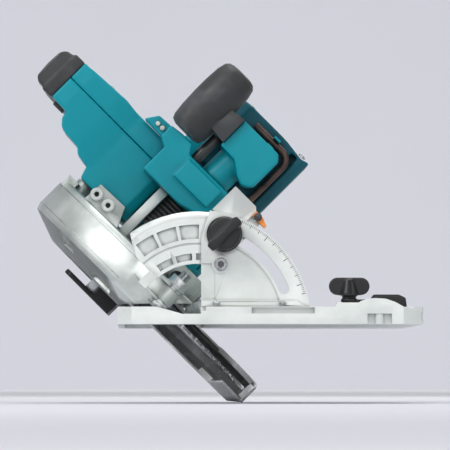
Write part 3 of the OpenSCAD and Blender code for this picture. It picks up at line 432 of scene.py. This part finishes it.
def bevelled(thing, width):
    """Breaks the sharp edges of a part."""
    weld(thing)
    modifier = thing.modifiers.new("edges", "BEVEL")
    modifier.width = width
    modifier.segments = 2
    modifier.limit_method = "ANGLE"
    modifier.angle_limit = math.radians(40)
    modifier.use_clamp_overlap = True
    modifier.miter_outer = "MITER_ARC"
    shade_smooth(thing)


def softened(thing, voxel, rounds):
    """Rounds a moulded part all over: an even mesh, relaxed a little."""
    weld(thing)
    remesh = thing.modifiers.new("even", "REMESH")
    remesh.mode = "VOXEL"
    remesh.voxel_size = voxel
    remesh.use_smooth_shade = True
    relax = thing.modifiers.new("relax", "SMOOTH")
    relax.factor = 0.5
    relax.iterations = rounds


# Moulded parts that are rounded all over: voxel size in metres, and rounds of smoothing
SOFT = {
    "handle_left_shell": (0.0009, 10), "handle_right_shell": (0.0009, 10), "handle_grip": (0.0009, 14),
    "motor_end_cover": (0.0009, 8), "front_cover": (0.0008, 8), "grip_mount": (0.0008, 10),
    "battery_left": (0.001, 6), "battery_right": (0.001, 6), "bevel_knob": (0.0006, 8),
    "fence_wing_bolt": (0.0006, 8), "guard_lever_arm": (0.0006, 8), "depth_lever": (0.0006, 6),
    "fence_clamp_pad": (0.0006, 6), "trigger": (0.0006, 8),
}

# Width of the broken edges, in metres, on the larger castings and on every other part
BEVEL = {
    "base_plate": 0.0007, "front_bevel_bracket": 0.0008, "bevel_quadrant": 0.0006, "blade_case": 0.0008,
    "gear_housing": 0.0006, "motor_housing": 0.0006, "brace_bar": 0.0010, "rear_bevel_bracket": 0.0006,
}
SMALL_BEVEL = 0.0003

for name, thing in nodes.items():
    if name in SOFT:
        softened(thing, *SOFT[name])
    else:
        bevelled(thing, BEVEL.get(name, SMALL_BEVEL))


# ---------------------------------------------------------------- details

BODY_OF = {n: body for body, parts in frame["record"]["behaviour"]["bodies"].items() for n in parts}

ARBOR_Z = round((HEAD_INVERSE @ ARBOR).z / MM, 2)
BLADE_LOW, BLADE_HIGH = corners("blade", HEAD)
BLADE_MIDDLE = (BLADE_LOW.x + BLADE_HIGH.x) / 2
BLADE_RADIUS = BLADE_HIGH.y
CASE_RADIUS = corners("blade_case", HEAD)[1].y


def turned(x_axis, y_axis, z_axis):
    """Rotation that carries a piece's own axes to three given directions."""
    return Matrix((x_axis, y_axis, z_axis)).transposed().to_4x4()


class Piece:
    """One visual piece: simple solids collected in a mesh, placed by a matrix, in millimetres."""

    def __init__(self, name, body, slot, space):
        self.name = name
        self.body = body
        self.slot = slot
        self.space = space
        self.bm = bmesh.new()

    def place(self, made, matrix):
        bmesh.ops.transform(self.bm, matrix=matrix, verts=made)

    def box(self, centre, size, turn=Matrix.Identity(4)):
        made = bmesh.ops.create_cube(self.bm, size=1)["verts"]
        self.place(made, Matrix.Translation(Vector(centre)) @ turn @ Matrix.Diagonal((*size, 1)))

    def rod(self, start, end, radius, end_radius=None, sides=32):
        """Round bar or cone between two points."""
        start, end = Vector(start), Vector(end)
        made = bmesh.ops.create_cone(
            self.bm, cap_ends=True, segments=sides, radius1=radius,
            radius2=radius if end_radius is None else end_radius, depth=(end - start).length
        )["verts"]
        turn = (end - start).to_track_quat("Z", "Y").to_matrix().to_4x4()
        self.place(made, Matrix.Translation((start + end) / 2) @ turn)

    def dome(self, centre, radius, height, direction):
        """Flattened dome, its flat side at the centre."""
        made = bmesh.ops.create_uvsphere(self.bm, u_segments=24, v_segments=12, radius=1)["verts"]
        turn = Vector(direction).to_track_quat("Z", "Y").to_matrix().to_4x4()
        shape = Matrix.Diagonal((radius, radius, height, 1))
        self.place(made, Matrix.Translation(Vector(centre)) @ turn @ shape)

    def done(self, edge=0.0):
        """Makes the object, breaks its edges by edge metres and fixes it to its body."""
        bmesh.ops.transform(self.bm, matrix=self.space @ Matrix.Scale(MM, 4), verts=self.bm.verts)
        mesh = bpy.data.meshes.new(self.name)
        self.bm.to_mesh(mesh)
        self.bm.free()
        thing = bpy.data.objects.new(self.name, mesh)
        bpy.context.scene.collection.objects.link(thing)
        mesh.materials.append(MATERIALS[self.slot])
        if edge:
            bevelled(thing, edge)
        else:
            shade_smooth(thing)
        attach(thing, self.body)


def screws(name, node, places, direction, radius):
    """Steel pan heads with a cross recess on a face of the head, the recess drawn as thin black bars on the
    dome, painted shade; direction points out of the face.
    """
    height = 1.0
    sunk = 0.5
    rim = height * 0.45
    out = Vector(direction)
    side = out.orthogonal().normalized()
    other = out.cross(side)
    heads = Piece(name, BODY_OF[node], "steel", HEAD)
    # The cross recess is not cut: thin black bars on each head stand for its shade, as painted shade.
    marks = Piece(name + "_recess_shade", BODY_OF[node], "black_steel", HEAD)
    for place in map(Vector, places):
        heads.rod(place - out * sunk, place + out * rim, radius)
        heads.dome(place + out * (rim - 0.01), radius, height * 0.56, out)
        for a, b in ((side, other), (other, side)):
            marks.box(place + out * (height - 0.1), (radius * 1.15, radius * 0.26, 0.3), turned(a, b, out))
    heads.done()
    marks.done()


def bevel_scale():
    """One line for each degree on the band of the fixed bracket, longer at 5 and 15 degrees."""
    face = -150.0
    outer = 82.2
    zero = 66
    marks = Piece("bevel_scale_marks", "base", "black_plastic", AT_PIVOT)
    for degree in range(0, 51):
        angle = math.radians(zero - degree)
        inner = 77.6 if degree % 15 == 0 else 79.2 if degree % 5 == 0 else 80.4
        width = 0.5 if degree % 5 == 0 else 0.32
        middle = (inner + outer) / 2
        marks.box((middle * math.cos(angle), face, middle * math.sin(angle)),
                  (outer - inner, 0.16, width), Matrix.Rotation(-angle, 4, "Y"))
    marks.done()


def depth_scale():
    """One line for each degree near the outer edge of the slotted guide."""
    hinge = HEAD_INVERSE @ Vector(joints["depth_hinge"]["pos_m"]) / MM
    outer = 249.4
    face = 12
    marks = Piece("depth_scale_marks", "tilt_frame", "black_plastic", HEAD)
    for degree in range(0, 25):
        angle = math.radians(degree)
        length = 3.4 if degree % 5 == 0 else 1.9
        middle = outer - length / 2
        marks.box((face, hinge.y + middle * math.cos(angle), hinge.z + middle * math.sin(angle)),
                  (0.16, length, 0.4), Matrix.Rotation(angle, 4, "X"))
    marks.done()


def stop_screw():
    """Bright rim and hexagon socket on the head of the bevel stop screw: the rim is a thin steel ring laid
    on as a painted highlight, the socket a flat black hexagon, the screw's own black with painted shade of
    its hollow.
    """
    low, high = corners("bevel_stop_screw", AT_PIVOT)
    x, y, z = (low.x + high.x) / 2, low.y, (low.z + high.z) / 2
    # A thin bright steel ring on the face of the screw: painted highlight.
    rim = Piece("stop_screw_highlight_ring", "base", "steel", AT_PIVOT)
    rim.rod((x, y - 0.3, z), (x, y, z), 4.3, 4.6)
    rim.done()
    # A flat black hexagon laid on the face for the socket: the screw's own black, with painted shade of the
    # hollow.
    socket = Piece("stop_screw_socket", "base", "black_steel", AT_PIVOT)
    socket.rod((x, y - 0.4, z), (x, y - 0.3, z), 2.6, sides=6)
    socket.done()


def case_lines():
    """Two fine turned lines round the upper case, where its crown meets the sides."""
    radius = CASE_RADIUS - 0.02
    first, step, count = 18, 1.6, 92
    for name, x in (("case_line_inner", 3.9), ("case_line_outer", -15.6)):
        line = Piece(name, "saw_head", "steel", HEAD)
        corners = []
        for k in range(count + 1):
            angle = math.radians(first + step * k)
            corners.append((x, radius * math.cos(angle), ARBOR_Z + radius * math.sin(angle)))
        for start, end in zip(corners, corners[1:]):
            line.rod(start, end, 0.22, sides=6)
        line.done()


def charge_gauges():
    """Small gauge with four lamps on the back of each pack, under its latch."""
    panel_size = (22, 0.8, 6.4)
    under_latch = 9
    first, spacing, radius = -4.5, 3.6, 0.9
    for side in ("left", "right"):
        body = "battery_" + side
        low, high = corners(body, HEAD)
        middle = (low.x + high.x) / 2
        height = corners(body + "_latch", HEAD)[0].z - under_latch
        panel = Piece("gauge_panel_" + side, body, "black_plastic", HEAD)
        panel.box((middle, high.y - 0.1, height), panel_size)
        panel.done(SMALL_BEVEL)
        lamps = Piece("gauge_lamps_" + side, body, "red_plastic", HEAD)
        for i in range(4):
            x = middle + first + spacing * i
            lamps.rod((x, high.y + 0.2, height), (x, high.y + 0.4, height), radius)
        lamps.done()


def carbide_tips():
    """Brazed tip on the leading face of each tooth of the blade."""
    count = 40
    width, thickness, length = 2.6, 1.4, 4.2
    inset, lead = 2.2, -0.75
    tips = Piece("blade_tips", "drive_spindle", "plated_steel", HEAD)
    for i in range(count):
        angle = math.radians(360 * i / count)
        arm = Vector((0, math.cos(angle), math.sin(angle)))
        side = Vector((0, -math.sin(angle), math.cos(angle)))
        centre = arm * (BLADE_RADIUS - inset) + side * lead + Vector((BLADE_MIDDLE, 0, ARBOR_Z))
        tips.box(centre, (width, thickness, length), turned(Vector((1, 0, 0)), side, arm))
    tips.done()


def blade_rings():
    """Turned step rings on both faces of the blade, outside the flanges."""
    radius = 31
    half = 0.06
    for name, x in (("blade_ring_left", BLADE_LOW.x - half), ("blade_ring_right", BLADE_HIGH.x + half)):
        ring = Piece(name, "drive_spindle", "blade_steel", HEAD)
        ring.rod((x - half, 0, ARBOR_Z), (x + half, 0, ARBOR_Z), radius, sides=96)
        ring.done()


def housing_screws():
    """Screws that hold the handle shells and the end cover."""
    left_face = corners("handle_left_shell", HEAD)[0].x + 0.1
    nose_face = 82.2
    cover_face = corners("motor_end_cover", HEAD)[1].x - 0.3
    pair = [(left_face, y, 104) for y in (-30, 138)]
    four = [(cover_face, y, z) for z in (85, 33) for y in (-43, 26)]
    screws("left_body_screws", "handle_left_shell", pair, (-1, 0, 0), 3.2)
    screws("nose_screw", "handle_right_shell", [(nose_face, -30, 170)], (1, 0, 0), 3.0)
    screws("end_cover_screws", "motor_end_cover", four, (1, 0, 0), 3.0)


bevel_scale()
depth_scale()
stop_screw()
case_lines()
charge_gauges()
carbide_tips()
blade_rings()
housing_screws()


# ---------------------------------------------------------------- studio

CENTRE = (-0.03, 0.0, 0.08)


def backdrop():
    """Pale floor that curves up into a wall well behind the saw."""
    floor_z = cad_bounds[0][2] - 0.0005
    wall_y, radius, top, near, half_width = 8.2, 1.8, 8.0, -10.0, 10.0
    steps = 24
    profile = [(near, floor_z)]
    for i in range(steps + 1):
        angle = math.radians(90 * i / steps)
        profile.append((wall_y + radius * math.sin(angle), floor_z + radius * (1 - math.cos(angle))))
    profile.append((wall_y + radius, top))

    # Paler between the saw and the wall, where the lamps reach least
    shader = Shader("studio_grey", roughness=0.9)
    axes = shader.add("ShaderNodeSeparateXYZ")
    shader.link(shader.place, axes.inputs[0])
    depth = shader.add("ShaderNodeMath", operation="DIVIDE")
    shader.link(axes.outputs["Y"], depth.inputs[0])
    depth.inputs[1].default_value = 10
    middle = shader.ramp(depth.outputs[0], [(0.03, 0.0), (0.15, 1.0), (0.5, 1.0), (0.8, 0.0)])
    pale = shader.ramp(shader.noise(3, 2), [(0.2, srgb(212, 213, 219)), (0.8, srgb(214, 215, 221))])
    shader.colour(shader.mix(middle, pale, srgb(246, 247, 250)))

    bm = bmesh.new()
    rows = [[bm.verts.new((x, y, z)) for x in (-half_width, half_width)] for y, z in profile]
    for a, b in zip(rows, rows[1:]):
        bm.faces.new((a[0], a[1], b[1], b[0]))
    mesh = bpy.data.meshes.new("studio_sweep")
    bm.to_mesh(mesh)
    bm.free()
    for polygon in mesh.polygons:
        polygon.use_smooth = True
    mesh.materials.append(shader.material)
    sweep = bpy.data.objects.new("studio_sweep", mesh)
    bpy.context.scene.collection.objects.link(sweep)


def sky():
    """Soft light from all round, brighter from above."""
    world = bpy.data.worlds.new("studio")
    bpy.context.scene.world = world
    world.use_nodes = True
    tree = world.node_tree
    background = tree.nodes["Background"]
    background.inputs["Strength"].default_value = 0.4
    place = tree.nodes.new("ShaderNodeTexCoord")
    split = tree.nodes.new("ShaderNodeSeparateXYZ")
    shades = tree.nodes.new("ShaderNodeValToRGB")
    tree.links.new(place.outputs["Generated"], split.inputs[0])
    tree.links.new(split.outputs["Z"], shades.inputs["Fac"])
    tree.links.new(shades.outputs["Color"], background.inputs["Color"])
    level, overhead = shades.color_ramp.elements
    level.position, level.color = 0.0, (0.34, 0.35, 0.38, 1)
    overhead.position, overhead.color = 0.75, (1.35, 1.36, 1.4, 1)


def softbox(name, place, size, power, aim=CENTRE):
    """Rectangular lamp that the camera doesn't see."""
    data = bpy.data.lights.new(name, "AREA")
    data.shape = "RECTANGLE"
    data.size, data.size_y = size
    data.energy = power
    lamp = bpy.data.objects.new(name, data)
    lamp.location = place
    lamp.rotation_euler = (Vector(aim) - Vector(place)).to_track_quat("-Z", "Y").to_euler()
    lamp.visible_camera = False
    bpy.context.scene.collection.objects.link(lamp)


def camera():
    """Long lens, a little below the sole and a little left of straight ahead."""
    distance = 3.6
    width_at_target = 0.3308
    azimuth, elevation = math.radians(-1), math.radians(-1.85)
    target = Vector((-0.0322, -0.1, 0.0735))
    direction = Vector((
        math.sin(azimuth) * math.cos(elevation),
        -math.cos(azimuth) * math.cos(elevation),
        math.sin(elevation),
    ))
    data = bpy.data.cameras.new("camera")
    data.sensor_width = 36
    data.lens = data.sensor_width * distance / width_at_target
    data.clip_end = 30
    thing = bpy.data.objects.new("camera", data)
    thing.location = target + direction * distance
    thing.rotation_euler = (-direction).to_track_quat("-Z", "Y").to_euler()
    bpy.context.scene.collection.objects.link(thing)
    bpy.context.scene.camera = thing


backdrop()
sky()
softbox("key_left", (-1.2, -1.2, 1.3), (1.1, 0.9), 17)
softbox("top", (0.0, 0.1, 1.9), (1.2, 0.8), 12)
softbox("fill_right", (1.5, -1.3, 0.7), (0.6, 1.2), 5)
softbox("front", (0.0, -3.3, 0.7), (2.2, 0.8), 15)
softbox("rim_back", (0.6, 1.2, 1.1), (1.2, 0.6), 5)
softbox("wall", (0.0, 7.0, 4.4), (9.0, 1.5), 165, aim=(0.0, 10.0, 0.6))
camera()
bpy.context.scene.view_settings.view_transform = "Standard"
